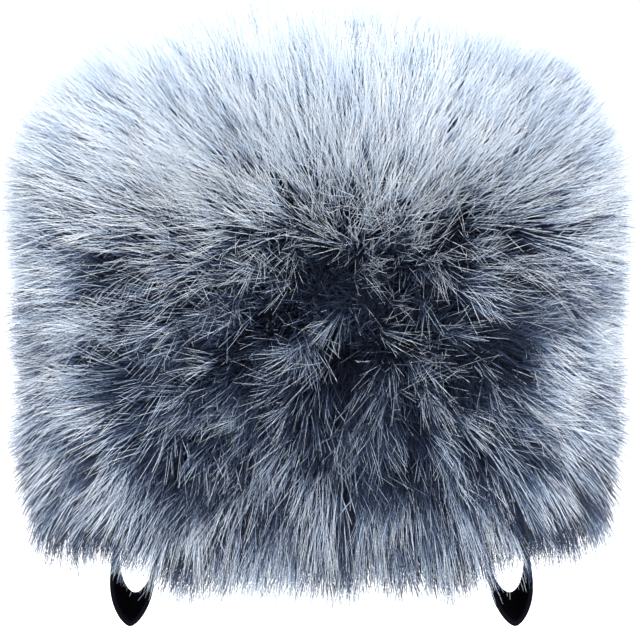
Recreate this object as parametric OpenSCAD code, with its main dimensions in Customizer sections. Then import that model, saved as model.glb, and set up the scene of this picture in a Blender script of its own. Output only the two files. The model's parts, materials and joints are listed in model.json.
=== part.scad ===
// Furry windscreen that slips over a microphone: a sewn cover of long-pile fur over a foam liner,
// with a knitted mesh lining, an elastic mouth at the bottom and a pull loop at each end of the mouth.
// The origin is the middle of the mouth, level with the lower edge of its binding. The front faces -Y.

/* [Fur cover] */
// Width over the pile
cover_w = 140; // [130:1:170]
// Depth over the pile, front to rear
cover_d = 104; // [98:1:130]
// Height over the pile, without the pull loops
cover_h = 127; // [110:1:150]
// Radius of the upright corners
corner_r = 40; // [36:1:46]
// Height of the domed top
crown_h = 48; // [40:1:60]
// Squareness of the dome: 2 gives an ellipse, and more a fuller shoulder
crown_power = 2.5; // [2:0.1:3]
// Radius of the edge round the bottom
lip_r = 18; // [10:1:22]
// Thickness of the fur fabric, backing and pile together
fur_t = 16; // [12:0.5:18]
// Thickness of the knitted backing alone
backing_t = 1.2; // [0.6:0.1:1.3]
// Distance from the front or rear of the cover to its side seam
seam_inset = 25; // [24:0.5:28]

/* [Seam tapes] */
// Width of the tape sewn along the front and rear seams
seam_tape_w = 4; // [2:0.5:8]
// Thickness of that tape with the seam turned under it
seam_tape_t = 1.6; // [0.8:0.1:3]

/* [Foam liner] */
// Thickness of the open-cell foam pads
foam_t = 6; // [4:0.5:8]
// Clearance between the layers of the cover
layer_gap = 0.3; // [0.2:0.05:0.5]

/* [Mesh lining] */
// Thickness of the knitted mesh lining
mesh_t = 0.6; // [0.4:0.1:1.2]

/* [Mouth] */
// Height of the tape that binds the mouth
binding_h = 10; // [8:0.5:16]
// Thickness of the binding tape
binding_t = 0.5; // [0.3:0.1:1]
// Thickness of the flat elastic in the binding
elastic_t = 0.8; // [0.5:0.1:1.5]
// Height of the flat elastic
elastic_h = 6; // [4:0.5:7]
// Clearance round the elastic in its channel
elastic_gap = 0.1; // [0.05:0.05:0.3]
// Height of the backing's inner face above the lower edge of the binding
hem_rise = 1.5; // [1.3:0.1:3]

/* [Pull loops] */
// Width of the woven tape
tape_w = 20; // [12:1:26]
// Thickness of the woven tape
tape_t = 1; // [0.6:0.1:1.4]
// Widest point across a hanging loop
loop_w = 11; // [8:0.1:14]
// Length of a loop from its fold at the mouth to its crease
loop_l = 36.5; // [30:0.5:44]
// Height of a loop's widest point above its crease
loop_belly = 12.5; // [10:0.5:15]
// Height of the tape ends sewn to the binding
sewn_h = 8; // [5:0.5:10]
// Gap between a loop and the edge it hangs from
loop_gap = 0.4; // [0.3:0.1:0.8]
// Room left in the pile beside each loop
notch_gap = 1.5; // [0.5:0.1:4]

/* [Stitching] */
// Thickness of the sewing thread
thread_d = 0.4; // [0.2:0.05:0.6]
// Length of a stitch
stitch_l = 2.8; // [2:0.1:4]
// Space between one stitch and the next
stitch_space = 1.2; // [0.8:0.1:3]
// Distance from a row of stitches to the edge of its tape
stitch_inset = 1.5; // [1:0.1:2]
// Clearance between a stitch and the tape it lies on
stitch_gap = 0.1; // [0.05:0.05:0.2]

/* [Hidden] */

// Facets round a whole turn of the stitches, and of the larger rounds
thread_fn = 24;
round_fn = 96;
// Steps of an upright corner, of the arc round the bottom edge and of the dome
corner_steps = 6;
lip_steps = 4;
crown_steps = 8;
// A length past every face, for cuts that run right through
past = 2 * (cover_w + cover_d + cover_h);

// Heights of the pile's lowest and highest point and of the foot of the dome
low_z = hem_rise - fur_t;
high_z = low_z + cover_h;
dome_z = high_z - crown_h;
// Axes of the four upright corners
corner_x = cover_w / 2 - corner_r;
corner_y = cover_d / 2 - corner_r;
// Planes of the seams: upright ones at front and rear, slanting ones at the ends of the top strip
seam_y = cover_d / 2 - seam_inset;
crown_z = dome_z - (cover_w / 2 - crown_h) * cos(45);
seam_gap = seam_tape_w + 2 * layer_gap;

// Depth below the pile's surface of each layer's outer face and of the cavity's wall
foam_in = fur_t + layer_gap;
mouth_in = foam_in + foam_t;
mesh_in = mouth_in + layer_gap;
cavity_in = mesh_in + mesh_t;
binding_in = mouth_in + layer_gap;
channel_t = elastic_t + 2 * elastic_gap;
bore_in = binding_in + 2 * binding_t + channel_t;

// Plan of the clear bore through the binding
bore_x = cover_w / 2 - bore_in;
bore_y = cover_d / 2 - bore_in;
bore_r = corner_r - bore_in;

// Place of the pull loops: two plies of tape on the binding's inner face, and a fold just below it
ply_t = 2 * tape_t;
loop_x = bore_x - tape_t;
loop_z = -(tape_t + loop_gap);
// Radii of the arcs that a loop's sides follow, from the fold to the belly and from there to the crease
function arc_radius(length) = (length * length + loop_w * loop_w / 4) / loop_w;
upper_l = loop_l - loop_belly;
notch_w = tape_w + 2 * notch_gap;
notch_z = hem_rise - backing_t;

stitch_pitch = stitch_l + stitch_space;

// Outline of the cover in plan, at a depth below the pile's surface
function side_x(quarter) = (quarter == 0 || quarter == 3) ? 1 : -1;
function side_y(quarter) = (quarter < 2) ? 1 : -1;
function plan_points(depth) =
    [for (quarter = [0 : 3]) for (i = [0 : corner_steps]) let (a = 90 * (quarter + i / corner_steps))
        [side_x(quarter) * corner_x + (corner_r - depth) * cos(a),
         side_y(quarter) * corner_y + (corner_r - depth) * sin(a)]];

// Level outlines up the cover: the rounded bottom edge, then the dome up to just under its highest point
function ring(depth, share, z) = [for (p = plan_points(depth)) [p.x * share, p.y * share, z]];
function lip_rings(depth) =
    let (r = max(lip_r - depth, layer_gap))
    [for (i = [0 : lip_steps]) let (a = 90 * i / lip_steps)
        ring(depth + r * (1 - sin(a)), 1, low_z + depth + r * (1 - cos(a)))];
function dome_rings(depth) =
    [for (i = [0 : crown_steps - 1]) let (a = 90 * i / crown_steps)
        ring(depth, pow(cos(a), 2 / crown_power), dome_z + (crown_h - depth) * pow(sin(a), 2 / crown_power))];

// A closed solid through level outlines, with a flat foot and a point on top
module ring_solid(rings, top_z) {
    n = len(rings[0]);
    last = len(rings) - 1;
    points = concat([for (r = rings) for (p = r) p], [[0, 0, rings[0][0].z], [0, 0, top_z]]);
    foot = n * (last + 1);
    faces = [for (k = [0 : last - 1]) for (i = [0 : n - 1])
                let (j = (i + 1) % n, low = k * n, high = low + n)
                each [[low + i, high + i, high + j], [low + i, high + j, low + j]]];
    foot_faces = [for (i = [0 : n - 1]) [foot, i, (i + 1) % n]];
    top_faces = [for (i = [0 : n - 1]) [foot + 1, last * n + (i + 1) % n, last * n + i]];
    polyhedron(points, concat(faces, foot_faces, top_faces));
}

// The cover's whole form, taken in by a depth below the pile's surface
module cover_form(depth) {
    ring_solid(concat(lip_rings(depth), dome_rings(depth)), high_z - depth);
}

// The same form with straight sides down through the mouth
module well_form(depth) {
    ring_solid(concat([ring(depth, 1, low_z - past)], dome_rings(depth)), high_z - depth);
}

// Blocks that divide a layer at its seams, with a gap along the front and rear seams and one over the top
module front_zone(gap) {
    translate([-past, -past - seam_y - gap / 2, -past]) cube([2 * past, past, 2 * past]);
}

module between_seams(gap) {
    width = 2 * seam_y - gap;
    translate([0, width / 2, 0]) rotate([90, 0, 0]) linear_extrude(width) children();
}

module side_zone(side, gap, crown_gap) {
    low = crown_z - crown_gap / 2;
    between_seams(gap)
        polygon([[0, -past], [side * past, -past], [side * past, past + low], [0, low]]);
}

module top_zone(gap, crown_gap) {
    low = crown_z + crown_gap / 2;
    between_seams(gap) polygon([[-past, past + low], [0, low], [past, past + low]]);
}

// Fur panels, cut from long-pile fabric and sewn edge to edge

module fur_layer() {
    difference() {
        cover_form(0);
        cover_form(fur_t);
        well_form(mouth_in);
    }
}

module front_fur_panel() {
    color("slategray") intersection() {
        fur_layer();
        front_zone(0);
    }
}

module rear_fur_panel() {
    mirror([0, 1, 0]) front_fur_panel();
}

// The pile parts round each pull loop, so that the loop can swing out
module loop_notch(side) {
    translate([side < 0 ? -past : 0, -notch_w / 2, notch_z - past]) cube([past, notch_w, past]);
}

module side_fur_gusset(side) {
    color("slategray") difference() {
        intersection() {
            fur_layer();
            side_zone(side, 0, 0);
        }
        loop_notch(side);
    }
}

module top_fur_gusset() {
    color("lightsteelblue") intersection() {
        fur_layer();
        top_zone(0, 0);
    }
}

// Tape that binds the front and rear seams, in the gap between the foam pads

module front_seam_tape() {
    color("dimgray") intersection() {
        difference() {
            cover_form(foam_in);
            well_form(foam_in + seam_tape_t);
        }
        translate([-past, -seam_y - seam_tape_w / 2, binding_h]) cube([2 * past, seam_tape_w, past]);
    }
}

module rear_seam_tape() {
    mirror([0, 1, 0]) front_seam_tape();
}

// Foam pads that hold the cover's shape, cut along the same seams

module foam_layer() {
    difference() {
        cover_form(foam_in);
        well_form(mouth_in);
    }
}

module front_foam_pad() {
    color("darkslategray") intersection() {
        foam_layer();
        front_zone(seam_gap);
    }
}

module rear_foam_pad() {
    mirror([0, 1, 0]) front_foam_pad();
}

module side_foam_pad(side) {
    color("darkslategray") intersection() {
        foam_layer();
        side_zone(side, seam_gap, layer_gap);
    }
}

module top_foam_pad() {
    color("darkslategray") intersection() {
        foam_layer();
        top_zone(seam_gap, layer_gap);
    }
}

// Knitted lining that faces the microphone, from the binding up
module mesh_lining() {
    color("black") intersection() {
        difference() {
            cover_form(mesh_in);
            well_form(cavity_in);
        }
        translate([-past, -past, binding_h + layer_gap]) cube([2 * past, 2 * past, past]);
    }
}

// Binding of the mouth: a tape folded up round the elastic

module mouth_outline(depth) {
    half_x = cover_w / 2 - depth;
    half_y = cover_d / 2 - depth;
    square([2 * half_x, 2 * corner_y], center = true);
    square([2 * corner_x, 2 * half_y], center = true);
    for (x = [-1, 1], y = [-1, 1])
        translate([x * corner_x, y * corner_y]) circle(r = corner_r - depth, $fn = round_fn);
}

module mouth_ring(outer, inner, base, height) {
    translate([0, 0, base])
        linear_extrude(height) difference() {
            mouth_outline(outer);
            mouth_outline(inner);
        }
}

module mouth_binding() {
    color("black") difference() {
        mouth_ring(binding_in, bore_in, 0, binding_h);
        mouth_ring(binding_in + binding_t, bore_in - binding_t, binding_t, binding_h);
    }
}

module mouth_elastic() {
    channel_in = binding_in + binding_t;
    color("black") mouth_ring(channel_in + elastic_gap, bore_in - binding_t - elastic_gap,
                              binding_t + elastic_gap, elastic_h);
}

// Rows of stitches

module stitch() {
    rotate([0, 90, 0]) cylinder(h = stitch_l, d = thread_d, center = true, $fn = thread_fn);
}

// A row of stitches along X, centred, that fits within a length
module stitch_row(length) {
    count = floor((length + stitch_space) / stitch_pitch);
    for (i = [0 : count - 1])
        translate([(i - (count - 1) / 2) * stitch_pitch, 0, 0]) stitch();
}

module mouth_stitches() {
    off = thread_d / 2 + stitch_gap;
    row_z = binding_h - stitch_inset;
    arc_r = bore_r - off;
    arc_count = floor(arc_r * PI / 2 / stitch_pitch);
    beside_y = tape_w / 2 + stitch_space;
    color("dimgray") {
        for (y = [-1, 1]) translate([0, y * (bore_y - off), row_z]) stitch_row(2 * corner_x);
        for (x = [-1, 1], y = [-1, 1])
            translate([x * corner_x, y * corner_y, row_z])
                for (i = [0 : arc_count - 1]) {
                    a = 90 * (i + 0.5) / arc_count;
                    at = [x * arc_r * cos(a), y * arc_r * sin(a)];
                    if (abs(y * corner_y + at.y) > beside_y + stitch_l / 2)
                        translate(at) rotate(90 + x * y * a) stitch();
                }
    }
}

// Pull loops: a woven tape folded into a loop, its two ends sewn to the binding's inner face

module tape_ends(side) {
    color("black") translate([side < 0 ? -bore_x : bore_x - ply_t, -tape_w / 2, 0])
        cube([ply_t, tape_w, sewn_h]);
}

module tape_stitches(side) {
    row_l = tape_w - 2 * stitch_inset;
    column_l = sewn_h - 2 * stitch_inset;
    color("dimgray")
        translate([side * (bore_x - ply_t - thread_d / 2 - stitch_gap), 0, sewn_h / 2]) {
            for (z = [-1, 1]) translate([0, 0, z * column_l / 2]) rotate(90) stitch_row(row_l);
        }
}

// Lens between two arcs that are widest at the belly, its end taken in by a depth
module loop_lens(length, depth) {
    r = arc_radius(length);
    translate([0, 0, -upper_l])
        intersection_for(x = [-1, 1])
            translate([x * (r - loop_w / 2), 0, 0]) rotate([90, 0, 0])
                cylinder(h = past, r = r - depth, center = true, $fn = round_fn);
}

module loop_half(length, base) {
    intersection() {
        difference() {
            loop_lens(length, 0);
            loop_lens(length, tape_t);
        }
        translate([-past / 2, -tape_w / 2, base]) cube([past, tape_w, past]);
    }
}

module pull_loop(side) {
    color("black") translate([side * loop_x, 0, loop_z]) {
        loop_half(upper_l, -upper_l);
        loop_half(loop_belly, -upper_l - past);
        rotate([90, 0, 0]) cylinder(h = tape_w, r = tape_t, center = true, $fn = round_fn);
    }
}

front_fur_panel();
rear_fur_panel();
side_fur_gusset(-1);  // left_fur_gusset
side_fur_gusset(1);  // right_fur_gusset
top_fur_gusset();
front_seam_tape();
rear_seam_tape();
front_foam_pad();
rear_foam_pad();
side_foam_pad(-1);  // left_foam_pad
side_foam_pad(1);  // right_foam_pad
top_foam_pad();
mesh_lining();
mouth_binding();
mouth_elastic();
mouth_stitches();
tape_ends(-1);  // left_tape_ends
tape_ends(1);  // right_tape_ends
tape_stitches(-1);  // left_tape_stitches
tape_stitches(1);  // right_tape_stitches
pull_loop(-1);  // left_pull_loop
pull_loop(1);  // right_pull_loop
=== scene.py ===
import json
import math

import bmesh
import bpy
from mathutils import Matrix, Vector


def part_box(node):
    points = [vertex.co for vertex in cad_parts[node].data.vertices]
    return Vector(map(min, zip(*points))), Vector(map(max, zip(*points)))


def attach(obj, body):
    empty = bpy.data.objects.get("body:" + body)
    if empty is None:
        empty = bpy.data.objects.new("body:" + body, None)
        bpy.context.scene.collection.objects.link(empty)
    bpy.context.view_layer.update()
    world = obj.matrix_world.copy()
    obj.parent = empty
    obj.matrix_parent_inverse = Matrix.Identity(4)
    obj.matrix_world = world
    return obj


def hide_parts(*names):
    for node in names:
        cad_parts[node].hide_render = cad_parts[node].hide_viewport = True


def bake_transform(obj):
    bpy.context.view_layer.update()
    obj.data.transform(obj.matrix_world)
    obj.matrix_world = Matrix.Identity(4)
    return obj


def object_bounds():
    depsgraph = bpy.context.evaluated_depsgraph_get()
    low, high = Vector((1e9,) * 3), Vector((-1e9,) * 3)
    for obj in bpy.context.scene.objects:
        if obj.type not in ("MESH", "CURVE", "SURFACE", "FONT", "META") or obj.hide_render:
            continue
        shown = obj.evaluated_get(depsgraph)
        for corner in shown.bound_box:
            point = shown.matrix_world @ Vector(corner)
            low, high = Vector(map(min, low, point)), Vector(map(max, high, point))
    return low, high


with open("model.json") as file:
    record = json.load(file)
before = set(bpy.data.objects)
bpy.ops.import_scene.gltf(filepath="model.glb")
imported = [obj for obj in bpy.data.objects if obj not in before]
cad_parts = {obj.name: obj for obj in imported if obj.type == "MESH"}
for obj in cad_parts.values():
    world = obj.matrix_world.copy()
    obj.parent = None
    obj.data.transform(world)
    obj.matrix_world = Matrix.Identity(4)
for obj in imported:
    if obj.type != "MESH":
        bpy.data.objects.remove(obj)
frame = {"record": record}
cad_low, cad_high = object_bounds()

# Fur backing: the knitted cloth that the pile stands on, dark so that the roots don't show.
# It is cut as a front, a rear and a strip in three lengths, sewn edge to edge, and turned in under the hem.

half_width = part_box("right_fur_gusset")[1].x
half_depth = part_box("rear_fur_panel")[1].y
crest_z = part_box("top_fur_gusset")[1].z
hem_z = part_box("front_fur_panel")[0].z
seam_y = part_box("rear_fur_panel")[0].y
layer_gap = 0.0003
fur_thickness = half_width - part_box("right_foam_pad")[1].x - layer_gap
mouth_half_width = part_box("mouth_binding")[1].x + layer_gap
mouth_depth = half_width - mouth_half_width
backing_thickness = 0.0012
# The rounding of the cover, as its solids have it
corner_radius = 0.040
crown_height = 0.048
crown_power = 2.5
lip_radius = 0.018
dome_z = crest_z - crown_height
crown_seam_z = dome_z - (half_width - crown_height) * math.cos(math.radians(45))
corner_steps = 10
lip_steps = 5
side_steps = 14
dome_steps = 16


def cover_ring(depth, share, z):
    """Points round the cover at a depth below the pile's surface, drawn in to a share of their distance."""
    points = []
    for quarter in range(4):
        middle_x = (half_width - corner_radius) * (1 if quarter in (0, 3) else -1)
        middle_y = (half_depth - corner_radius) * (1 if quarter < 2 else -1)
        for step in range(corner_steps + 1):
            angle = math.radians(90 * (quarter + step / corner_steps))
            x = middle_x + (corner_radius - depth) * math.cos(angle)
            y = middle_y + (corner_radius - depth) * math.sin(angle)
            points.append((x * share, y * share, z))
    return points


def cover_rings(depth, foot_z=None):
    """Level outlines at a depth, from the mouth round the hem, or from a foot, to under the crest."""
    rings = []
    side_foot = foot_z
    if foot_z is None:
        lip = max(lip_radius - depth, layer_gap)
        rings.append(cover_ring(mouth_depth, 1, hem_z + depth))
        for step in range(lip_steps + 1):
            angle = math.radians(90 * step / lip_steps)
            inset = depth + lip * (1 - math.sin(angle))
            rings.append(cover_ring(inset, 1, hem_z + depth + lip * (1 - math.cos(angle))))
        side_foot = hem_z + depth + lip
    else:
        rings.append(cover_ring(depth, 1, foot_z))
    for step in range(1, side_steps + 1):
        rings.append(cover_ring(depth, 1, side_foot + (dome_z - side_foot) * step / side_steps))
    for step in range(1, dome_steps):
        angle = math.radians(90 * step / dome_steps)
        share = math.cos(angle) ** (2 / crown_power)
        rise = math.sin(angle) ** (2 / crown_power)
        rings.append(cover_ring(depth, share, dome_z + (crown_height - depth) * rise))
    return rings


def add_face(sheet, cloth_map, corners):
    """A smooth face. Each corner is a point and its two lengths on the cloth's map."""
    face = sheet.faces.new([corner[0] for corner in corners])
    face.smooth = True
    for loop, corner in zip(face.loops, corners):
        loop[cloth_map].uv = corner[1:]


def cover_sheet(depth, foot_z=None):
    """An open sheet that follows the cover's form, with a map of the lengths round it and up it."""
    sheet = bmesh.new()
    cloth_map = sheet.loops.layers.uv.new("cloth")
    rings = [[sheet.verts.new(point) for point in ring] for ring in cover_rings(depth, foot_z)]
    count = len(rings[0])
    crest = sheet.verts.new((0, 0, crest_z - depth))
    widest = cover_ring(depth, 1, 0)
    round_length = [0.0]
    for i in range(count):
        round_length.append(round_length[-1] + math.dist(widest[i], widest[(i + 1) % count]))
    up_length = [0.0]
    for low, high in zip(rings, rings[1:] + [[crest] * count]):
        up_length.append(up_length[-1] + (high[0].co - low[0].co).length)
    for k in range(len(rings)):
        for i in range(count):
            j = (i + 1) % count
            start, end = round_length[i:i + 2]
            low, high = up_length[k:k + 2]
            corners = [(rings[k][i], start, low), (rings[k][j], end, low)]
            if k + 1 < len(rings):
                corners += [(rings[k + 1][j], end, high), (rings[k + 1][i], start, high)]
            else:
                corners.append((crest, start, high))
            add_face(sheet, cloth_map, corners)
    return sheet


def cut_away(sheet, *planes):
    """Cuts off what lies past each plane, given as a point and the direction to take away."""
    for point, direction in planes:
        everything = sheet.verts[:] + sheet.edges[:] + sheet.faces[:]
        bmesh.ops.bisect_plane(sheet, geom=everything, plane_co=point, plane_no=direction, clear_outer=True)


def panel_cuts(end_y, side_y, crown_gap):
    """The planes that part a layer into panels: the ends past end_y, and the strip within side_y."""
    between = [((0, -side_y, 0), (0, -1, 0)), ((0, side_y, 0), (0, 1, 0))]
    low = (0, 0, crown_seam_z - crown_gap / 2)
    high = (0, 0, crown_seam_z + crown_gap / 2)
    return {
        "front": [((0, -end_y, 0), (0, 1, 0))],
        "rear": [((0, end_y, 0), (0, -1, 0))],
        "left": between + [((0, 0, 0), (1, 0, 0)), (low, (1, 0, 1))],
        "right": between + [((0, 0, 0), (-1, 0, 0)), (low, (-1, 0, 1))],
        "top": between + [(high, (1, 0, -1)), (high, (-1, 0, -1))],
    }


panel_node = {"front": "front_fur_panel", "rear": "rear_fur_panel", "left": "left_fur_gusset",
              "right": "right_fur_gusset", "top": "top_fur_gusset"}


def new_piece(name, mesh_source):
    """A piece at the origin from a mesh, or from a mesh being edited, which is used up."""
    mesh = mesh_source
    if isinstance(mesh_source, bmesh.types.BMesh):
        mesh = bpy.data.meshes.new(name)
        mesh_source.to_mesh(mesh)
        mesh_source.free()
    piece = bpy.data.objects.new(name, mesh)
    bpy.context.scene.collection.objects.link(piece)
    return piece


def settle(piece):
    """Makes a piece's modifiers part of its mesh."""
    graph = bpy.context.evaluated_depsgraph_get()
    mesh = bpy.data.meshes.new_from_object(piece.evaluated_get(graph))
    piece.modifiers.clear()
    piece.data = mesh
    mesh.name = piece.name


def add_wall(piece, thickness, offset=-1):
    """Gives an open sheet its thickness, inwards from its face or to both sides of it."""
    wall = piece.modifiers.new("wall", "SOLIDIFY")
    wall.thickness = thickness
    wall.offset = offset
    piece.modifiers.move(len(piece.modifiers) - 1, 0)
    settle(piece)


def add_node(tree, kind, inputs=(), **settings):
    """A node with its settings, and with values or links for its inputs by name or number."""
    node = tree.nodes.new(kind)
    for name, value in settings.items():
        setattr(node, name, value)
    for key, value in dict(inputs).items():
        if isinstance(value, bpy.types.NodeSocket):
            tree.links.new(value, node.inputs[key])
        else:
            node.inputs[key].default_value = value
    return node


def add_sockets(tree, in_out, kind, *names):
    """Inputs or outputs of one kind for a node group."""
    for name in names:
        tree.interface.new_socket(name, in_out=in_out, socket_type="NodeSocket" + kind)


def input_sockets(tree):
    """The identifiers of a node group's inputs by name."""
    return {item.name: item.identifier for item in tree.interface.items_tree if item.in_out == "INPUT"}


def number(tree, operation, *values):
    """The result of a sum on single values."""
    return add_node(tree, "ShaderNodeMath", enumerate(values), operation=operation).outputs[0]


def colour_ramp(tree, place, stops):
    """A colour from a row of stops, each a place and a colour."""
    ramp = add_node(tree, "ShaderNodeValToRGB", {"Fac": place})
    while len(ramp.color_ramp.elements) < len(stops):
        ramp.color_ramp.elements.new(1.0)
    for element, (at, colour) in zip(ramp.color_ramp.elements, stops):
        element.position = at
        element.color = (*colour, 1)
    return ramp.outputs["Color"]


def new_finish(name, roughness):
    """A material, its node tree and its Principled shader."""
    finish = bpy.data.materials.new(name)
    finish.use_nodes = True
    shader = finish.node_tree.nodes["Principled BSDF"]
    shader.inputs["Roughness"].default_value = roughness
    return finish, finish.node_tree, shader


def rows_group(name):
    """Ribs across and threads along a cloth, from its map in metres: their height, and their hollows for
    painted shade.
    """
    tree = bpy.data.node_groups.new(name, "ShaderNodeTree")
    add_sockets(tree, "INPUT", "Vector", "Map")
    add_sockets(tree, "INPUT", "Float", "Ribs per metre", "Threads per metre")
    add_sockets(tree, "OUTPUT", "Float", "Height", "Hollows")
    given = tree.nodes.new("NodeGroupInput").outputs
    place = add_node(tree, "ShaderNodeSeparateXYZ", {0: given["Map"]}).outputs
    turn = 2 * math.pi
    rib = number(tree, "MULTIPLY", place["X"], given["Ribs per metre"])
    thread = number(tree, "MULTIPLY", place["Y"], given["Threads per metre"])
    along = number(tree, "MULTIPLY", rib, turn)
    across = number(tree, "MULTIPLY", thread, turn)
    crossing = number(tree, "MULTIPLY", number(tree, "SINE", along), number(tree, "SINE", across))
    height = number(tree, "MULTIPLY_ADD", crossing, 0.5, 0.5)
    hollows = number(tree, "POWER", number(tree, "SUBTRACT", 1.0, height), 2.0)
    result = tree.nodes.new("NodeGroupOutput")
    tree.links.new(height, result.inputs["Height"])
    tree.links.new(hollows, result.inputs["Hollows"])
    return tree


woven_rows = rows_group("woven_rows")
hollow_shade_share = 0.7
blotch_share = 0.3
grain_height = 0.35


def cloth_finish(name, light, dark, ribs, threads, roughness, relief, sheen=0.25):
    """A woven or knitted cloth: two close colours, rows of threads with painted shade in their hollows, and
    a little unevenness.
    """
    finish, tree, shader = new_finish(name, roughness)
    cloth_map = add_node(tree, "ShaderNodeUVMap", uv_map="cloth").outputs["UV"]
    rows = add_node(tree, "ShaderNodeGroup", node_tree=woven_rows)
    tree.links.new(cloth_map, rows.inputs["Map"])
    rows.inputs["Ribs per metre"].default_value = ribs
    rows.inputs["Threads per metre"].default_value = threads
    place = add_node(tree, "ShaderNodeTexCoord").outputs["Object"]
    grain = {"Vector": place, "Scale": 320.0, "Detail": 4.0}
    uneven = add_node(tree, "ShaderNodeTexNoise", grain).outputs["Fac"]
    # Painted shade: darker in the hollows between the threads, with blotches of uneven tone
    blotches = number(tree, "MULTIPLY", uneven, blotch_share)
    share = number(tree, "MULTIPLY_ADD", rows.outputs["Hollows"], hollow_shade_share, blotches)
    tree.links.new(colour_ramp(tree, share, [(0.1, light), (0.75, dark)]), shader.inputs["Base Color"])
    height = number(tree, "MULTIPLY_ADD", uneven, grain_height, rows.outputs["Height"])
    bump = add_node(tree, "ShaderNodeBump", {"Height": height, "Strength": 0.6, "Distance": relief})
    tree.links.new(bump.outputs["Normal"], shader.inputs["Normal"])
    shader.inputs["Sheen Weight"].default_value = sheen
    shader.inputs["Specular IOR Level"].default_value = sheen
    return finish


backing_finish = cloth_finish("dark_knit_backing", light=(0.012, 0.014, 0.022), dark=(0.003, 0.004, 0.007),
                              ribs=450, threads=450, roughness=0.85, relief=0.0002)
backing_depth = fur_thickness - backing_thickness
root_sheets = {}
fur_cuts = panel_cuts(seam_y, seam_y, 0)

for panel, cuts in fur_cuts.items():
    sheet = cover_sheet(backing_depth)
    cut_away(sheet, *cuts)
    sum(face.calc_area() for face in sheet.faces)
    backing = new_piece(panel + "_fur_backing", sheet)
    root_sheets[panel] = backing.data.copy()
    add_wall(backing, backing_thickness)
    backing.data.materials.append(backing_finish)
    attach(backing, "cover")
    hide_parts(panel_node[panel])

# Fur pile: soft fibres in four coats, near-black at the root, slate in the middle and pale at the tip.
# They are tufted through the backing, lean away from a crown on the front and fall into locks and streaks.
# Painted light makes the pile palest over the crest and paler on its flanks and hem, and it is parted where
# the pull loops swing.

crown_x = 0.010
crown_z = 0.046
crown = Vector((crown_x, -(half_depth - backing_depth), crown_z))
crown_core = 0.022
loop_place = (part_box("right_pull_loop")[0].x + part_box("right_pull_loop")[1].x) / 2
parting_beside = 0.0015
parting_above = 0.002
parting_half_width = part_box("left_pull_loop")[1].y + parting_beside
parting_top = hem_z + fur_thickness + parting_above
most_locks_per_square_metre = 1e6
streak_low = 0.36
streak_high = 0.64
side_start = 0.1
side_full = 0.85
elbow_gather = 0.4
taper_power = 1.6
paleness_power = 3.0
# The part of the colour map that the hairs take up, and the width of one of their sides on it
map_start = 0.03
map_span = 0.94
map_side = 0.006


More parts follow.
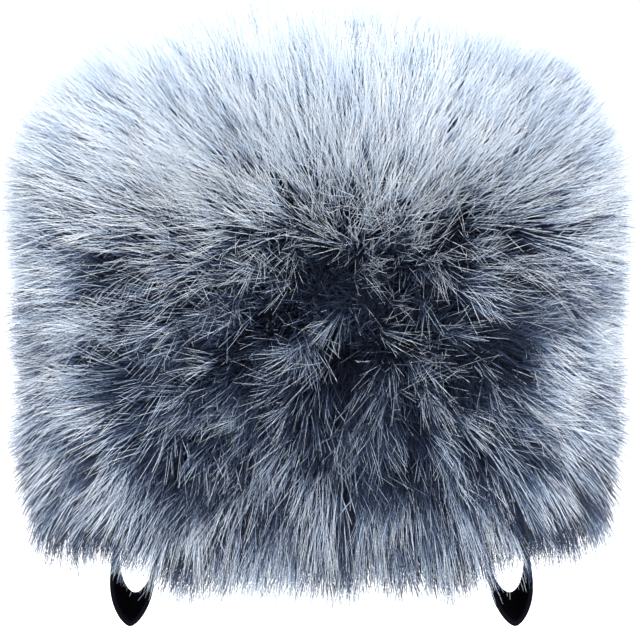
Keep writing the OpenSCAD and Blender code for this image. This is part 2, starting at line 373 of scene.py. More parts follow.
def pile_tree():
    """Hairs on a backing: roots at random, each a bent three-sided strand that falls in with its lock."""
    tree = bpy.data.node_groups.new("fur_pile", "GeometryNodeTree")
    add_sockets(tree, "OUTPUT", "Geometry", "Geometry")
    add_sockets(tree, "INPUT", "Geometry", "Backing")
    add_sockets(tree, "INPUT", "Float", "Hairs per square metre", "Lock spacing", "Length", "Length spread",
                "Comb", "Lock spread", "Lock pull", "Frizz", "Droop", "Stiffness", "Root radius",
                "Tip share", "Crown core", "Crest comb", "Crest foot", "Crest full", "Crest ragged",
                "Crest calm", "Crest length", "Flank top", "Hem height", "Hem comb", "Hem length",
                "Hem calm", "Corner length", "Loop place", "Loop space", "Loop trim", "Drift",
                "Drifts per metre", "Streaks round", "Streaks per metre", "Streak height",
                "Parting half width", "Parting top",
                "Least shade", "Lock shade", "Hair shade", "Streak shade", "Flank shade", "Hem shade",
                "Corner shade", "Crest shade", "Upright shade", "Crest side shade")
    add_sockets(tree, "INPUT", "Vector", "Crown")
    add_sockets(tree, "INPUT", "Int", "Points per hair", "Seed", "Lock seed")
    add_sockets(tree, "INPUT", "Material", "Fur")
    given = tree.nodes.new("NodeGroupInput").outputs

    def num(operation, *values):
        return number(tree, operation, *values)

    def vector_node(operation, inputs):
        return add_node(tree, "ShaderNodeVectorMath", inputs, operation=operation)

    def vec(operation, *values):
        return vector_node(operation, enumerate(values)).outputs["Vector"]

    def times(vector, factor):
        return vector_node("SCALE", {0: vector, "Scale": factor}).outputs["Vector"]

    def length_of(vector):
        return vector_node("LENGTH", {0: vector}).outputs["Value"]

    def dot(first, second):
        return vector_node("DOT_PRODUCT", {0: first, 1: second}).outputs["Value"]

    def parts_of(vector):
        return add_node(tree, "ShaderNodeSeparateXYZ", {0: vector}).outputs

    def random_node(draw, group, kind):
        """Draws for each hair, or for each lock where the hairs' locks are given as the group."""
        seed = given["Lock seed"] if group else given["Seed"]
        node = add_node(tree, "FunctionNodeRandomValue", {"Seed": num("ADD", seed, draw)}, data_type=kind)
        if group:
            tree.links.new(group, node.inputs["ID"])
        return node

    def chance(draw, group=None):
        """A share from 0 to 1."""
        return random_node(draw, group, "FLOAT").outputs[1]

    def chance_way(draw, group=None):
        """A direction with parts from -1 to 1."""
        node = random_node(draw, group, "FLOAT_VECTOR")
        node.inputs[0].default_value = (-1, -1, -1)
        return node.outputs[0]

    def keep(geometry, name, value, kind, domain="POINT"):
        """Stores a value under a name."""
        inputs = {"Geometry": geometry, "Name": name, "Value": value}
        store = add_node(tree, "GeometryNodeStoreNamedAttribute", inputs, data_type=kind, domain=domain)
        return store.outputs[0]

    def kept(name, kind):
        """Reads a value that was stored under a name."""
        return add_node(tree, "GeometryNodeInputNamedAttribute", {"Name": name}, data_type=kind).outputs[0]

    def rise(value, start, full):
        """A share that rises smoothly from 0 at the start to 1."""
        return add_node(tree, "ShaderNodeMapRange", {"Value": value, "From Min": start, "From Max": full},
                        interpolation_type="SMOOTHSTEP").outputs["Result"]

    scatter = add_node(tree, "GeometryNodeDistributePointsOnFaces",
                       {"Mesh": given["Backing"], "Density": given["Hairs per square metre"],
                        "Seed": given["Seed"]})
    lock_scatter = add_node(tree, "GeometryNodeDistributePointsOnFaces",
                            {"Mesh": given["Backing"], "Distance Min": given["Lock spacing"],
                             "Density Max": most_locks_per_square_metre, "Seed": given["Lock seed"]},
                            distribute_method="POISSON")
    locks = lock_scatter.outputs["Points"]
    root = tree.nodes.new("GeometryNodeInputPosition").outputs[0]
    outward = scatter.outputs["Normal"]

    # The hair's own lock, and where it stands
    lock = add_node(tree, "GeometryNodeSampleNearest", {"Geometry": locks}).outputs["Index"]
    lock_at = add_node(tree, "GeometryNodeSampleIndex", {"Geometry": locks, "Value": root, "Index": lock},
                       data_type="FLOAT_VECTOR").outputs[0]

    # Combed away from the crown along the backing, flatter over the crest and towards the hem
    away = vec("SUBTRACT", root, given["Crown"])
    share = num("DIVIDE", 1.0, num("ADD", length_of(away), given["Crown core"]))
    lean = times(away, share)
    lean = vec("SUBTRACT", lean, times(outward, dot(lean, outward)))
    place = parts_of(root)
    crest = rise(place["Z"], given["Crest foot"], given["Crest full"])
    hem = rise(place["Z"], given["Hem height"], 0.0)
    comb = num("MULTIPLY_ADD", crest, given["Crest comb"], given["Comb"])
    fall = vec("ADD", (0, 0, -1), times(outward, parts_of(outward)["Z"]))
    drift_map = {"Vector": root, "Scale": given["Drifts per metre"], "Detail": 1.0}
    drift = add_node(tree, "ShaderNodeTexNoise", drift_map).outputs["Color"]
    drift = vec("SUBTRACT", drift, (0.5, 0.5, 0.5))

    way = vec("ADD", outward, times(lean, comb))
    way = vec("ADD", way, times(fall, num("MULTIPLY", hem, given["Hem comb"])))
    crest_calm = num("MULTIPLY", crest, given["Crest calm"])
    hem_calm = num("MULTIPLY", hem, given["Hem calm"])
    unruly = num("SUBTRACT", 1.0, num("MAXIMUM", crest_calm, hem_calm))
    way = vec("ADD", way, times(drift, num("MULTIPLY", given["Drift"], unruly)))
    way = vec("ADD", way, times(chance_way(2, lock), num("MULTIPLY", given["Lock spread"], unruly)))
    way = vec("ADD", way, times(chance_way(3), given["Frizz"]))
    way = vec("NORMALIZE", way)

    # Streaks that run out from the crown: tall pale ones, with low dark ones between them
    streak_map = {"Vector": vec("NORMALIZE", away), "Scale": given["Streaks round"], "Detail": 1.0,
                  "W": num("MULTIPLY", length_of(away), given["Streaks per metre"])}
    streaks = add_node(tree, "ShaderNodeTexNoise", streak_map, noise_dimensions="4D").outputs["Fac"]
    streak = rise(streaks, streak_low, streak_high)
    tallness = num("MULTIPLY_ADD", num("SUBTRACT", streak, 0.5), given["Streak height"], 1.0)
    own_length = num("MULTIPLY_ADD", num("SUBTRACT", chance(4), 0.5), given["Length spread"], 1.0)
    lock_length = num("MULTIPLY_ADD", num("SUBTRACT", chance(5, lock), 0.5), given["Length spread"], 1.0)
    own_length = num("MULTIPLY", own_length, lock_length)
    reach = num("MULTIPLY", num("MULTIPLY", given["Length"], tallness), own_length)

    # Longer at the hem and its corners, and over the crest, but trimmed near the pull loops
    side_on = rise(num("ABSOLUTE", parts_of(outward)["X"]), side_start, side_full)
    from_loop = num("ABSOLUTE", num("SUBTRACT", num("ABSOLUTE", place["X"]), given["Loop place"]))
    near_loop = rise(from_loop, given["Loop space"], 0.0)
    fringe = num("MULTIPLY_ADD", near_loop, given["Loop trim"], given["Hem length"])
    fringe = num("MULTIPLY_ADD", side_on, given["Corner length"], fringe)
    reach = num("MULTIPLY", reach, num("MULTIPLY_ADD", hem, fringe, 1.0))
    reach = num("MULTIPLY", reach, num("MULTIPLY_ADD", crest, given["Crest length"], 1.0))

    # Where the hair bends and ends, drawn to its lock and sagging a little
    gather = times(vec("SUBTRACT", lock_at, root), num("MULTIPLY", given["Lock pull"], unruly))
    drop = num("MULTIPLY", num("MULTIPLY", reach, given["Droop"]), -1.0)
    sag = add_node(tree, "ShaderNodeCombineXYZ", {"Z": drop}).outputs[0]
    stiff = times(outward, num("MULTIPLY", reach, given["Stiffness"]))
    elbow = vec("ADD", stiff, times(gather, elbow_gather))
    tip = vec("ADD", vec("ADD", times(way, reach), gather), sag)

    # Paler in the tall streaks; painted light makes the flanks and the hem paler, and the crest most of all
    lock_tone = chance(6, lock)
    shade = num("MULTIPLY_ADD", lock_tone, given["Lock shade"], given["Least shade"])
    shade = num("MULTIPLY_ADD", chance(7), given["Hair shade"], shade)
    shade = num("MULTIPLY_ADD", streak, given["Streak shade"], shade)
    shade = num("MAXIMUM", shade, 0.0)
    # Painted rim light on the flanks, fading below the crest and towards the hem
    flank = num("MULTIPLY", side_on, rise(place["Z"], given["Crest full"], given["Flank top"]))
    flank = num("MULTIPLY", flank, num("SUBTRACT", 1.0, hem))
    shade = num("MULTIPLY_ADD", flank, given["Flank shade"], shade)
    # Painted light along the hem, less at its corners
    fringe_painted_light = num("MULTIPLY_ADD", side_on, given["Corner shade"], given["Hem shade"])
    shade = num("MULTIPLY_ADD", hem, fringe_painted_light, shade)

    # Painted light over the crest: its edge is ragged, and it is less pale on top and towards the sides
    upward = num("MAXIMUM", parts_of(way)["Z"], 0.0)
    paler = num("MULTIPLY_ADD", upward, given["Upright shade"], given["Crest shade"])
    paler = num("MULTIPLY_ADD", side_on, given["Crest side shade"], paler)
    uneven = num("SUBTRACT", num("ADD", streak, lock_tone), 1.0)
    crest_edge = num("MULTIPLY_ADD", uneven, given["Crest ragged"], place["Z"])
    crest_light_mask = rise(crest_edge, given["Crest foot"], given["Crest full"])
    paler = num("MULTIPLY", num("MULTIPLY", crest_light_mask, paler), num("SUBTRACT", 1.0, shade))
    shade = num("MINIMUM", num("ADD", shade, paler), 1.0)

    hairs = keep(scatter.outputs["Points"], "root", root, "FLOAT_VECTOR")
    hairs = keep(hairs, "elbow", elbow, "FLOAT_VECTOR")
    hairs = keep(hairs, "tip", tip, "FLOAT_VECTOR")
    # The shade holds each hair's own tone and the painted light on the crest, flanks and hem
    hairs = keep(hairs, "shade", shade, "FLOAT")

    # No roots where a pull loop swings
    beside = num("LESS_THAN", num("ABSOLUTE", place["Y"]), given["Parting half width"])
    below = num("LESS_THAN", place["Z"], given["Parting top"])
    parted = add_node(tree, "GeometryNodeDeleteGeometry",
                      {"Geometry": hairs, "Selection": num("MULTIPLY", beside, below)}, domain="POINT")

    # A bent line for each hair
    line = add_node(tree, "GeometryNodeCurvePrimitiveLine", {"End": (0, 0, 0.001)}).outputs[0]
    line = add_node(tree, "GeometryNodeResampleCurve",
                    {"Curve": line, "Count": given["Points per hair"]}).outputs[0]
    copies = add_node(tree, "GeometryNodeInstanceOnPoints",
                      {"Points": parted.outputs[0], "Instance": line})
    lines = add_node(tree, "GeometryNodeRealizeInstances", {"Geometry": copies.outputs[0]}).outputs[0]
    along = tree.nodes.new("GeometryNodeSplineParameter").outputs["Factor"]
    left = num("SUBTRACT", 1.0, along)
    bend = times(kept("elbow", "FLOAT_VECTOR"), num("MULTIPLY", num("MULTIPLY", along, left), 2.0))
    end = times(kept("tip", "FLOAT_VECTOR"), num("MULTIPLY", along, along))
    line_at = vec("ADD", kept("root", "FLOAT_VECTOR"), vec("ADD", bend, end))
    lines = add_node(tree, "GeometryNodeSetPosition", {"Geometry": lines, "Position": line_at}).outputs[0]
    lines = keep(lines, "along", along, "FLOAT")

    # Three sides, tapering to the tip
    thinning = num("SUBTRACT", given["Tip share"], 1.0)
    taper = num("MULTIPLY_ADD", num("POWER", along, taper_power), thinning, 1.0)
    ring = add_node(tree, "GeometryNodeCurvePrimitiveCircle", {"Resolution": 3, "Radius": 1.0}).outputs[0]
    side = tree.nodes.new("GeometryNodeSplineParameter").outputs["Index"]
    ring = keep(ring, "side", side, "FLOAT")
    radius = num("MULTIPLY", given["Root radius"], taper)
    strands = add_node(tree, "GeometryNodeCurveToMesh",
                       {"Curve": lines, "Profile Curve": ring, "Scale": radius})
    smooth = add_node(tree, "GeometryNodeSetShadeSmooth", {"Geometry": strands.outputs[0]}).outputs[0]

    # The map that the colour reads: along the hair, and across from dark hairs to pale ones
    map_v = num("MULTIPLY_ADD", kept("shade", "FLOAT"), map_span, map_start)
    map_v = num("MULTIPLY_ADD", num("SUBTRACT", kept("side", "FLOAT"), 1.0), map_side, map_v)
    hair_map = add_node(tree, "ShaderNodeCombineXYZ", {"X": kept("along", "FLOAT"), "Y": map_v}).outputs[0]
    mapped = keep(smooth, "OFBake", hair_map, "FLOAT2", "CORNER")
    for name in ("root", "elbow", "tip", "shade", "along", "side"):
        bare = add_node(tree, "GeometryNodeRemoveAttribute", {"Geometry": mapped, "Name": name})
        mapped = bare.outputs[0]
    whole = add_node(tree, "GeometryNodeRealizeInstances", {"Geometry": mapped}).outputs[0]
    finished = add_node(tree, "GeometryNodeSetMaterial", {"Geometry": whole, "Material": given["Fur"]})
    result = tree.nodes.new("NodeGroupOutput")
    tree.links.new(finished.outputs[0], result.inputs[0])
    return tree


def fur_finish(name, stops, least, reach, roughness):
    """Fibre colour from root to tip: the paler a hair's shade, the nearer its root the pale part starts.
    The shade includes painted light.
    """
    finish, tree, shader = new_finish(name, roughness)
    hair_map = add_node(tree, "ShaderNodeUVMap", uv_map="OFBake").outputs["UV"]
    place = add_node(tree, "ShaderNodeSeparateXYZ", {0: hair_map}).outputs
    paleness = number(tree, "POWER", place["Y"], paleness_power)
    along = number(tree, "MULTIPLY", place["X"], number(tree, "MULTIPLY_ADD", paleness, reach, least))
    tree.links.new(colour_ramp(tree, along, stops), shader.inputs["Base Color"])
    shader.inputs["Specular IOR Level"].default_value = 0.25
    return finish


root_navy = (0.003, 0.004, 0.009)
low_navy = (0.010, 0.014, 0.030)
slate = (0.080, 0.121, 0.221)
ice = (0.52, 0.635, 0.785)
frost = (0.72, 0.76, 0.81)

underfur_stops = [(0.0, root_navy), (0.31, low_navy), (0.47, slate), (0.62, ice), (0.95, frost)]
pile_stops = [(0.0, root_navy), (0.31, low_navy), (0.50, slate), (0.62, ice), (0.95, frost)]
guard_stops = [(0.0, root_navy), (0.28, low_navy), (0.45, slate), (0.58, ice), (0.85, frost)]
underfur_finish = fur_finish("underfur", underfur_stops, least=0.20, reach=1.75, roughness=0.65)
pile_finish = fur_finish("fur_pile", pile_stops, least=0.35, reach=1.35, roughness=0.55)
guard_finish = fur_finish("guard_hair", guard_stops, least=0.37, reach=1.35, roughness=0.5)

coats = {
    "underfur": {
        "Hairs per square metre": 1.15e6, "Length": 0.0150, "Length spread": 0.20, "Comb": 0.40,
        "Lock spread": 0.25, "Lock pull": 0.30, "Frizz": 0.45, "Droop": 0.03, "Stiffness": 0.5,
        "Root radius": 0.00016, "Tip share": 0.25, "Points per hair": 3, "Seed": 11, "Fur": underfur_finish,
    },
    "pile": {
        "Hairs per square metre": 1.6e6, "Length": 0.0192, "Length spread": 0.18, "Comb": 0.60,
        "Lock spread": 0.34, "Lock pull": 0.72, "Frizz": 0.24, "Droop": 0.06, "Stiffness": 0.5,
        "Root radius": 0.00013, "Tip share": 0.15, "Points per hair": 3, "Seed": 23, "Fur": pile_finish,
    },
    "guard_hairs": {
        "Hairs per square metre": 1.6e6, "Length": 0.0200, "Length spread": 0.18, "Comb": 0.60,
        "Lock spread": 0.34, "Lock pull": 0.58, "Frizz": 0.23, "Droop": 0.08, "Stiffness": 0.5,
        "Root radius": 0.00010, "Tip share": 0.15, "Points per hair": 3, "Seed": 37, "Fur": guard_finish,
    },
    "wisps": {
        "Hairs per square metre": 0.11e6, "Length": 0.0204, "Length spread": 0.10, "Comb": 0.60,
        "Lock spread": 0.20, "Lock pull": 0.20, "Frizz": 0.40, "Droop": 0.10, "Stiffness": 0.5,
        "Root radius": 0.00008, "Tip share": 0.15, "Points per hair": 4, "Seed": 53, "Fur": guard_finish,
    },
}
pile_shape = {
    "Lock spacing": 0.0025,
    "Lock seed": 5,
    "Crown core": crown_core,
    "Crown": crown,
    "Crest comb": 0.3,
    "Crest foot": 0.062,
    "Crest full": 0.077,
    "Crest ragged": 0.011,
    "Crest calm": 0.6,
    "Crest length": 0.12,
    "Flank top": 0.070,
    "Hem height": 0.030,
    "Hem comb": 0.9,
    "Hem length": 0.12,
    "Hem calm": 0.6,
    "Corner length": 0.24,
    "Loop place": loop_place,
    "Loop space": 0.016,
    "Loop trim": -0.42,
    "Drift": 1.3,
    "Drifts per metre": 80.0,
    "Streaks round": 26.0,
    "Streaks per metre": 75.0,
    "Streak height": 0.16,
    "Least shade": -0.34,
    "Lock shade": 0.60,
    "Hair shade": 0.10,
    "Streak shade": 0.55,
    # Painted rim light on the flanks
    "Flank shade": 0.27,
    # Painted light along the hem, less at its corners
    "Hem shade": 0.21,
    "Corner shade": -0.28,
    # Painted light over the crest, less where the hair stands up and towards the sides
    "Crest shade": 0.92,
    "Upright shade": -0.27,
    "Crest side shade": -0.28,
    "Parting half width": parting_half_width,
    "Parting top": parting_top,
}
grow_pile = pile_tree()
pile_socket = input_sockets(grow_pile)

for panel in fur_cuts:
    for coat, values in coats.items():
        hair = new_piece(f"{panel}_{coat}", root_sheets[panel].copy())
        growing = hair.modifiers.new("growing", "NODES")
        growing.node_group = grow_pile
        for name, value in {**values, **pile_shape}.items():
            growing[pile_socket[name]] = value
        settle(hair)
        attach(hair, "cover")

# Seam tapes: narrow woven tape, matte and dark grey, over the turned seams round the front and rear panels.
# It is stitched flat over the seam, in the gap between the foam pads, from the binding up over the crest.

foam_depth = fur_thickness + layer_gap
seam_tape_thickness = 0.0016
seam_tape_finish = cloth_finish("grey_seam_tape", light=(0.065, 0.065, 0.075), dark=(0.025, 0.025, 0.03),
                                ribs=800, threads=800, roughness=0.8, relief=0.0001)

for end in ("front", "rear"):
    tape_low, tape_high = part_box(end + "_seam_tape")
    tape_sheet = cover_sheet(foam_depth, tape_low.z)
    cut_away(tape_sheet, ((0, tape_low.y, 0), (0, -1, 0)), ((0, tape_high.y, 0), (0, 1, 0)))
    seam_tape = new_piece(end + "_woven_seam_tape", tape_sheet)
    add_wall(seam_tape, seam_tape_thickness)
    seam_tape.data.materials.append(seam_tape_finish)
    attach(seam_tape, "cover")
    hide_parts(end + "_seam_tape")

# Foam pads: dark open-cell foam, soft and matte, which keeps the cover's box shape and stops the wind.
# Five pads are cut from sheet along the same seams as the fur, and are glued to its backing.

foam_thickness = mouth_depth - foam_depth
foam_edge = 0.0008
foam_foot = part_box("front_foam_pad")[0].z
foam_cuts = panel_cuts(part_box("rear_foam_pad")[0].y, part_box("left_foam_pad")[1].y, layer_gap)


def foam_finish(name, light, dark, cells_per_metre):
    """Open-cell foam: small round pits with painted shade in them, darker than the skin between them."""
    finish, tree, shader = new_finish(name, 0.9)
    place = add_node(tree, "ShaderNodeTexCoord").outputs["Object"]
    cell_map = {"Vector": place, "Scale": cells_per_metre}
    cells = add_node(tree, "ShaderNodeTexVoronoi", cell_map).outputs["Distance"]
    # Painted shade in the pits
    tree.links.new(colour_ramp(tree, cells, [(0.15, dark), (0.6, light)]), shader.inputs["Base Color"])
    bump = add_node(tree, "ShaderNodeBump", {"Height": cells, "Strength": 0.7, "Distance": 0.0004})
    tree.links.new(bump.outputs["Normal"], shader.inputs["Normal"])
    return finish


open_cell_foam = foam_finish("open_cell_foam", light=(0.11, 0.11, 0.12), dark=(0.02, 0.02, 0.024),
                             cells_per_metre=900)

for panel, cuts in foam_cuts.items():
    pad_sheet = cover_sheet(foam_depth, foam_foot)
    cut_away(pad_sheet, *cuts)
    pad = new_piece(panel + "_cut_foam", pad_sheet)
    rounding = pad.modifiers.new("rounding", "BEVEL")
    rounding.width = foam_edge
    rounding.segments = 2
    add_wall(pad, foam_thickness)
    pad.data.materials.append(open_cell_foam)
    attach(pad, "cover")
    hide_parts(panel + "_foam_pad")

# Mesh lining: a thin black knitted mesh, open enough for sound, that faces the microphone.
# It is one bag, sewn in with the binding and stretched over the foam.

lining_low, lining_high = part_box("mesh_lining")
lining_thickness = 0.0006
lining_sheet = cover_sheet(half_width - lining_high.x, lining_low.z)
lining_area = sum(face.calc_area() for face in lining_sheet.faces)
lining = new_piece("knitted_lining", lining_sheet)
add_wall(lining, lining_thickness)
lining.data.materials.append(
    cloth_finish("black_knitted_mesh", light=(0.030, 0.030, 0.036), dark=(0.002, 0.002, 0.003),
                 ribs=400, threads=560, roughness=0.8, relief=0.0003))
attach(lining, "cover")
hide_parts("mesh_lining")

# Flat elastic: a braided rubber tape in the fold of the binding, which makes the mouth grip the microphone.
# It is cut shorter than the mouth, joined into a ring and laid in before the binding is closed.

elastic_low, elastic_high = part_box("mouth_elastic")
elastic_thickness = 0.0008
round_step = 0.0015


def mouth_line(inset):
    """Points round the mouth, an inset from the pile: each with its outward direction and its way round."""
    inner = cover_ring(inset, 1, 0)
    outer = cover_ring(0, 1, 0)
    line = []
    way = 0.0
    for i in range(len(inner)):
        j = (i + 1) % len(inner)
        length = math.dist(inner[i], inner[j])
        count = max(1, round(length / round_step))
        for k in range(count):
            at = Vector(inner[i]).lerp(inner[j], k / count)
            outward = Vector(outer[i]).lerp(outer[j], k / count) - at
            line.append((at, outward.normalized(), way + length * k / count))
        way += length
    return line, way


def mouth_strip(name, inset, section):
    """A strip round the mouth. section gives its insets and heights at a length of the way round."""
    line, total = mouth_line(inset)
    strip = bmesh.new()
    cloth_map = strip.loops.layers.uv.new("cloth")
    rows = []
    for at, outward, way in line:
        row = [strip.verts.new(at - outward * more + Vector((0, 0, z))) for more, z in section(way)]
        rows.append((row, way))
    rows.append((rows[0][0], total))
    down = [0.0]
    for first, second in zip(section(0), section(0)[1:]):
        down.append(down[-1] + math.dist(first, second))
    for (row, way), (next_row, next_way) in zip(rows, rows[1:]):
        for k in range(len(down) - 1):
            corners = [(row[k], way, down[k]), (row[k + 1], way, down[k + 1]),
                       (next_row[k + 1], next_way, down[k + 1]), (next_row[k], next_way, down[k])]
            add_face(strip, cloth_map, corners)
    return new_piece(name, strip)


def elastic_section(way):
    """The elastic from its upper edge to its lower one, the same all the way round."""
    return [(0, elastic_high.z), (0, (elastic_high.z + elastic_low.z) / 2), (0, elastic_low.z)]


elastic = mouth_strip("braided_elastic", half_width - elastic_high.x, elastic_section)
add_wall(elastic, elastic_thickness)
elastic.data.materials.append(
    cloth_finish("braided_elastic", light=(0.05, 0.05, 0.05), dark=(0.015, 0.015, 0.015),
                 ribs=900, threads=500, roughness=0.7, relief=0.0002))
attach(elastic, "cover")
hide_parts("mouth_elastic")

# Mouth binding: black woven tape folded round the raw edge of the mouth, a ply on each side of the elastic.
# It is sewn on flat, and the elastic then draws it into small gathers.

binding_low, binding_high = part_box("mouth_binding")
binding_depth = half_width - binding_high.x
binding_thickness = binding_high.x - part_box("right_tape_ends")[1].x
binding_ply = 0.0005
gather_length = 0.0062
gather_height = 0.00022
gather_fade = 0.6
gather_wander = 0.8
wander_length = 0.011
fold_steps = 6
ply_steps = 5


def binding_section(way):
    """The folded tape from the top of its outer ply, under the elastic, to the top of its inner ply."""
    radius = binding_thickness / 2
    swing = math.sin(2 * math.pi * way / gather_length + gather_wander * math.sin(way / wander_length))
    outer = []
    inner = []
    for step in range(ply_steps):
        z = binding_high.z + (binding_low.z + radius - binding_high.z) * step / ply_steps
        gather = gather_height * (1 + swing) * (1 - gather_fade * step / ply_steps)
        outer.append((gather, z))
        inner.insert(0, (binding_thickness - gather, z))
    fold = []
    for step in range(fold_steps + 1):
        angle = math.pi * step / fold_steps
        fold.append((radius * (1 - math.cos(angle)), binding_low.z + radius * (1 - math.sin(angle))))
    return outer + fold + inner


binding = mouth_strip("folded_binding", binding_depth, binding_section)
add_wall(binding, binding_ply)
binding.data.materials.append(
    cloth_finish("black_binding_tape", light=(0.022, 0.022, 0.028), dark=(0.005, 0.005, 0.007),
                 ribs=900, threads=900, roughness=0.8, relief=0.00015))
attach(binding, "cover")
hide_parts("mouth_binding")

# Pull loops: a matte black woven tape, 20 mm wide, folded into a loop at each end of the mouth.
# Its two ends are sewn together on the binding's inner face. The rest hangs, bent a little outwards.

loop_low, loop_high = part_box("left_pull_loop")
sewn_low, sewn_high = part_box("left_tape_ends")
tape_width = sewn_high.y - sewn_low.y
tape_thickness = (sewn_high.x - sewn_low.x) / 2
loop_width = loop_high.x - loop_low.x
loop_belly = 0.0125
hinge = {joint["child"]: Vector(joint["pos_m"]) for joint in frame["record"]["behaviour"]["joints"]}
loop_length = hinge["left_loop"].z - loop_low.z
loop_lean = {"left": math.radians(3.5), "right": math.radians(6.5)}
mouth_end = {"left": -1, "right": 1}
crease_fold = 0.7
crease_down = loop_length - crease_fold * tape_thickness
crease_tilt = 0.0003
crease_roundness = (0.5, 0.9)
loop_steps = 26
sewn_steps = 4
across_steps = 8


def loop_half_width(down, roundness):
    """Half the width between the middles of a loop's two sides, at a length below the fold.
    The crease is pointed for a roundness of 0 and round for 1."""
    upper = loop_length - loop_belly
    arc = upper if down < upper else loop_belly
    radius = (arc * arc + loop_width * loop_width / 4) / loop_width
    rise = abs(down - upper)
    half = math.sqrt((radius - tape_thickness / 2) ** 2 - rise * rise) - (radius - loop_width / 2)
    if down < upper:
        return max(half, tape_thickness / 2)
    widest = (loop_width - tape_thickness) / 2
    round_half = widest * math.sqrt(max(1 - (rise / (crease_down - upper)) ** 2, 0))
    return max(half, 0) * (1 - roundness) + round_half * roundness


def tape_line():
    """The way along the tape's middle, from the top of its outer ply round the loop and up its inner ply.
    Each step has a side, 1 for the outer one, and a length below the fold."""
    top = hinge["left_loop"].z - sewn_high.z
    outer = [(1, top * (1 - step / sewn_steps)) for step in range(sewn_steps)]
    for step in range(loop_steps):
        outer.append((1, crease_down * math.sin(math.radians(90 * step / loop_steps))))
    return outer + [(0, crease_down)] + [(-1, down) for ply, down in reversed(outer)]


def tape_ribbon(name, side, lean, middle):
    """The whole tape as one sheet, its map in metres across and along."""
    ribbon = bmesh.new()
    cloth_map = ribbon.loops.layers.uv.new("cloth")
    rows = []
    for ply, down in tape_line():
        hang = max(down, 0)
        row = []
        for step in range(across_steps + 1):
            across = step / across_steps
            roundness = crease_roundness[0] * (1 - across) + crease_roundness[1] * across
            x = ply * loop_half_width(down, roundness) + hang * math.tan(lean)
            rise = crease_tilt * across * (hang / loop_length) ** 2
            point = (middle.x + side * x, tape_width * (across - 0.5), middle.z - down + rise)
            row.append(ribbon.verts.new(point))
        rows.append(row)
    along = [0.0]
    for row, next_row in zip(rows, rows[1:]):
        along.append(along[-1] + (next_row[0].co - row[0].co).length)
    for k in range(len(rows) - 1):
        for i in range(across_steps):
            corners = [(k, i), (k, i + 1), (k + 1, i + 1), (k + 1, i)]
            if side > 0:
                corners.reverse()
            corners = [(rows[a][b], tape_width * b / across_steps, along[a]) for a, b in corners]
            add_face(ribbon, cloth_map, corners)
    return new_piece(name, ribbon), along[-1]


pull_tape_finish = cloth_finish("black_pull_tape", light=(0.006, 0.006, 0.009), dark=(0.001, 0.001, 0.002),
                                ribs=650, threads=1000, roughness=0.9, relief=0.0001, sheen=0.0)

for name, side in mouth_end.items():
    fold = hinge[name + "_loop"]
    ribbon, tape_length = tape_ribbon(name + "_pull_tape", side, loop_lean[name], fold)
    add_wall(ribbon, tape_thickness, 0)
    ribbon.data.materials.append(pull_tape_finish)
    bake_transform(ribbon)
    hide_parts(name + "_tape_ends", name + "_pull_loop")

# Stitches: dark grey sewing thread, one row along the binding near its upper edge and two rows across the
# ends of each pull tape. Each stitch shows as a short bent length of thread between two holes.

stitch_length = 0.0028
stitch_pitch = 0.0040
thread_radius = 0.0002
stitch_inset = 0.0015
mouth_row_z = binding_high.z - stitch_inset


def stitch_tree():
    """Stitches along a line: each follows the line, and rises towards the side that the line faces."""
    tree = bpy.data.node_groups.new("stitch_row", "GeometryNodeTree")
    add_sockets(tree, "OUTPUT", "Geometry", "Geometry")
    add_sockets(tree, "INPUT", "Geometry", "Line")
    add_sockets(tree, "INPUT", "Float", "Pitch", "Stitch length", "Thread radius")
    add_sockets(tree, "INPUT", "Material", "Thread")
    given = tree.nodes.new("NodeGroupInput").outputs
    line = add_node(tree, "GeometryNodeMeshToCurve", {"Mesh": given["Line"]}).outputs[0]
    line = add_node(tree, "GeometryNodeResampleCurve",
                    {"Curve": line, "Length": given["Pitch"]}, mode="LENGTH")
    along = tree.nodes.new("GeometryNodeInputTangent").outputs[0]
    facing = add_node(tree, "GeometryNodeInputNamedAttribute", {"Name": "facing"}, data_type="FLOAT_VECTOR")
    turn = add_node(tree, "FunctionNodeAxesToRotation", {0: along, 1: facing.outputs[0]},
                    primary_axis="X", secondary_axis="Z")
    half = number(tree, "MULTIPLY", given["Stitch length"], 0.5)
    end = add_node(tree, "ShaderNodeCombineXYZ", {"X": half}).outputs[0]
    start = add_node(tree, "ShaderNodeCombineXYZ", {"X": number(tree, "MULTIPLY", half, -1.0)}).outputs[0]
    rise = number(tree, "MULTIPLY", given["Thread radius"], 2.0)
    top = add_node(tree, "ShaderNodeCombineXYZ", {"Z": rise}).outputs[0]
    thread = add_node(tree, "GeometryNodeCurveQuadraticBezier",
                      {"Resolution": 4, "Start": start, "Middle": top, "End": end})
    ring = add_node(tree, "GeometryNodeCurvePrimitiveCircle",
                    {"Resolution": 6, "Radius": given["Thread radius"]})
    stitch = add_node(tree, "GeometryNodeCurveToMesh",
                      {"Curve": thread.outputs[0], "Profile Curve": ring.outputs[0], "Fill Caps": True})
    stitch = add_node(tree, "GeometryNodeSetShadeSmooth", {"Geometry": stitch.outputs[0]})
    row = add_node(tree, "GeometryNodeInstanceOnPoints",
                   {"Points": line.outputs[0], "Instance": stitch.outputs[0], "Rotation": turn.outputs[0]})
    whole = add_node(tree, "GeometryNodeRealizeInstances", {"Geometry": row.outputs[0]})
    finished = add_node(tree, "GeometryNodeSetMaterial",
                        {"Geometry": whole.outputs[0], "Material": given["Thread"]})
    result = tree.nodes.new("NodeGroupOutput")
    tree.links.new(finished.outputs[0], result.inputs[0])
    return tree


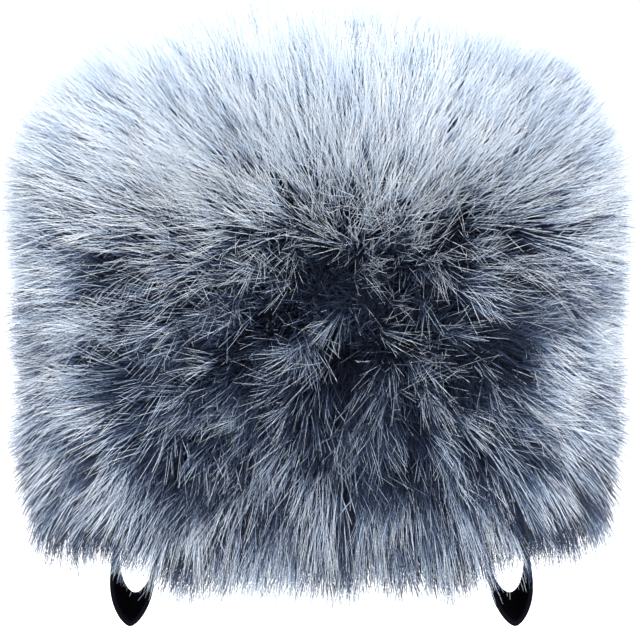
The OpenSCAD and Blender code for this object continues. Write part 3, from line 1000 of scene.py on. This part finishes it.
def line_mesh(name, lines):
    """A mesh of bare lines. Each line is a row of points, each with the direction that it faces."""
    mesh = bpy.data.meshes.new(name)
    points = []
    edges = []
    for line in lines:
        edges += [(len(points) + k, len(points) + k + 1) for k in range(len(line) - 1)]
        points += line
    mesh.from_pydata([point for point, facing in points], edges, [])
    facing_values = mesh.attributes.new("facing", "FLOAT_VECTOR", "POINT")
    for value, (point, facing) in zip(facing_values.data, points):
        value.vector = facing
    return mesh


thread_finish, _, thread_shader = new_finish("sewing_thread", 0.55)
thread_shader.inputs["Base Color"].default_value = (0.06, 0.06, 0.066, 1)
sew_row = stitch_tree()
sew_socket = input_sockets(sew_row)


def sew(name, lines, node):
    """A row or rows of stitches along lines, in place of a node."""
    seam = new_piece(name, line_mesh(name, lines))
    sewing = seam.modifiers.new("sewing", "NODES")
    sewing.node_group = sew_row
    sewing[sew_socket["Pitch"]] = stitch_pitch
    sewing[sew_socket["Stitch length"]] = stitch_length
    sewing[sew_socket["Thread radius"]] = thread_radius
    sewing[sew_socket["Thread"]] = thread_finish
    settle(seam)
    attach(seam, "cover")
    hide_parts(node)


mouth_rows = {-1: [], 1: []}
for at, outward, way in mouth_line(binding_depth + binding_thickness)[0]:
    if abs(at.y) > tape_width / 2 + stitch_length / 2:
        mouth_rows[1 if at.y > 0 else -1].append((at + Vector((0, 0, mouth_row_z)), -outward))
mouth_lines = [sorted(row, key=lambda item: item[0].x) for row in mouth_rows.values()]
sew("binding_stitches", mouth_lines, "mouth_stitches")

for name, side in mouth_end.items():
    sewn_low, sewn_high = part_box(name + "_tape_ends")
    face_x = sewn_low.x if side > 0 else sewn_high.x
    row_half = tape_width / 2 - stitch_inset
    rows = []
    for z in (sewn_low.z + stitch_inset, sewn_high.z - stitch_inset):
        rows.append([(Vector((face_x, y, z)), Vector((-side, 0, 0))) for y in (-row_half, row_half)])
    sew(name + "_tape_sewing", rows, name + "_tape_stitches")

# Studio: a plain pale floor well below the cover, and large soft lights in front, behind and at both sides.
# The floor and the background look white to the camera, and light the cover only weakly.

floor_drop = 0.25
floor_side = 8.0
floor_mesh = bmesh.new()
bmesh.ops.create_grid(floor_mesh, x_segments=4, y_segments=4, size=floor_side / 2)
floor = new_piece("floor", floor_mesh)
floor.location.z = cad_low.z - floor_drop
floor_finish, floor_tree, floor_shader = new_finish("pale_floor", 0.9)
floor_shader.inputs["Base Color"].default_value = (0.5, 0.5, 0.5, 1)
floor_shader.inputs["Emission Color"].default_value = (1, 1, 1, 1)
floor_seen = add_node(floor_tree, "ShaderNodeLightPath").outputs["Is Camera Ray"]
floor_tree.links.new(floor_seen, floor_shader.inputs["Emission Strength"])
floor.data.materials.append(floor_finish)

world = bpy.data.worlds.new("studio")
bpy.context.scene.world = world
world.use_nodes = True
world_tree = world.node_tree
seen_by_camera = add_node(world_tree, "ShaderNodeLightPath").outputs["Is Camera Ray"]
fill_strength = 0.12
strength = number(world_tree, "MULTIPLY_ADD", seen_by_camera, 1.0 - fill_strength, fill_strength)
world_tree.links.new(strength, world_tree.nodes["Background"].inputs["Strength"])
world_tree.nodes["Background"].inputs["Color"].default_value = (1, 1, 1, 1)
bpy.context.scene.view_settings.view_transform = "Standard"

light_side = 1.2
light_reach = 1.05


def soft_light(name, place, power):
    """A square light that faces the middle of the cover."""
    light = bpy.data.lights.new(name, "AREA")
    light.size = light_side
    light.energy = power
    lamp = bpy.data.objects.new(name, light)
    bpy.context.scene.collection.objects.link(lamp)
    lamp.location = place
    towards = Vector((0, 0, crest_z / 2)) - Vector(place)
    lamp.rotation_euler = towards.to_track_quat("-Z", "Y").to_euler()


soft_light("light_in_front", (0.12, -light_reach, 0.5), 38)
soft_light("light_behind", (0.0, light_reach, 0.6), 36)
soft_light("light_on_left", (-light_reach, 0.1, 0.5), 17)
soft_light("light_on_right", (light_reach, 0.1, 0.5), 17)

# Camera: in front of the cover and 15 degrees above it, with a long lens.
# It aims close to the middle of the cover and its pull loops together.

aim = Vector((0.0003, 0, 0.0389))
camera_rise = math.radians(15)
camera_distance = 0.65
camera_level = 0.043
camera_lens = 150.75
camera = bpy.data.objects.new("camera", bpy.data.cameras.new("camera"))
bpy.context.scene.collection.objects.link(camera)
camera.data.lens = camera_lens
camera_height = camera_level + camera_distance * math.sin(camera_rise)
camera.location = (0, -camera_distance * math.cos(camera_rise), camera_height)
camera.rotation_euler = (aim - camera.location).to_track_quat("-Z", "Y").to_euler()
bpy.context.scene.camera = camera
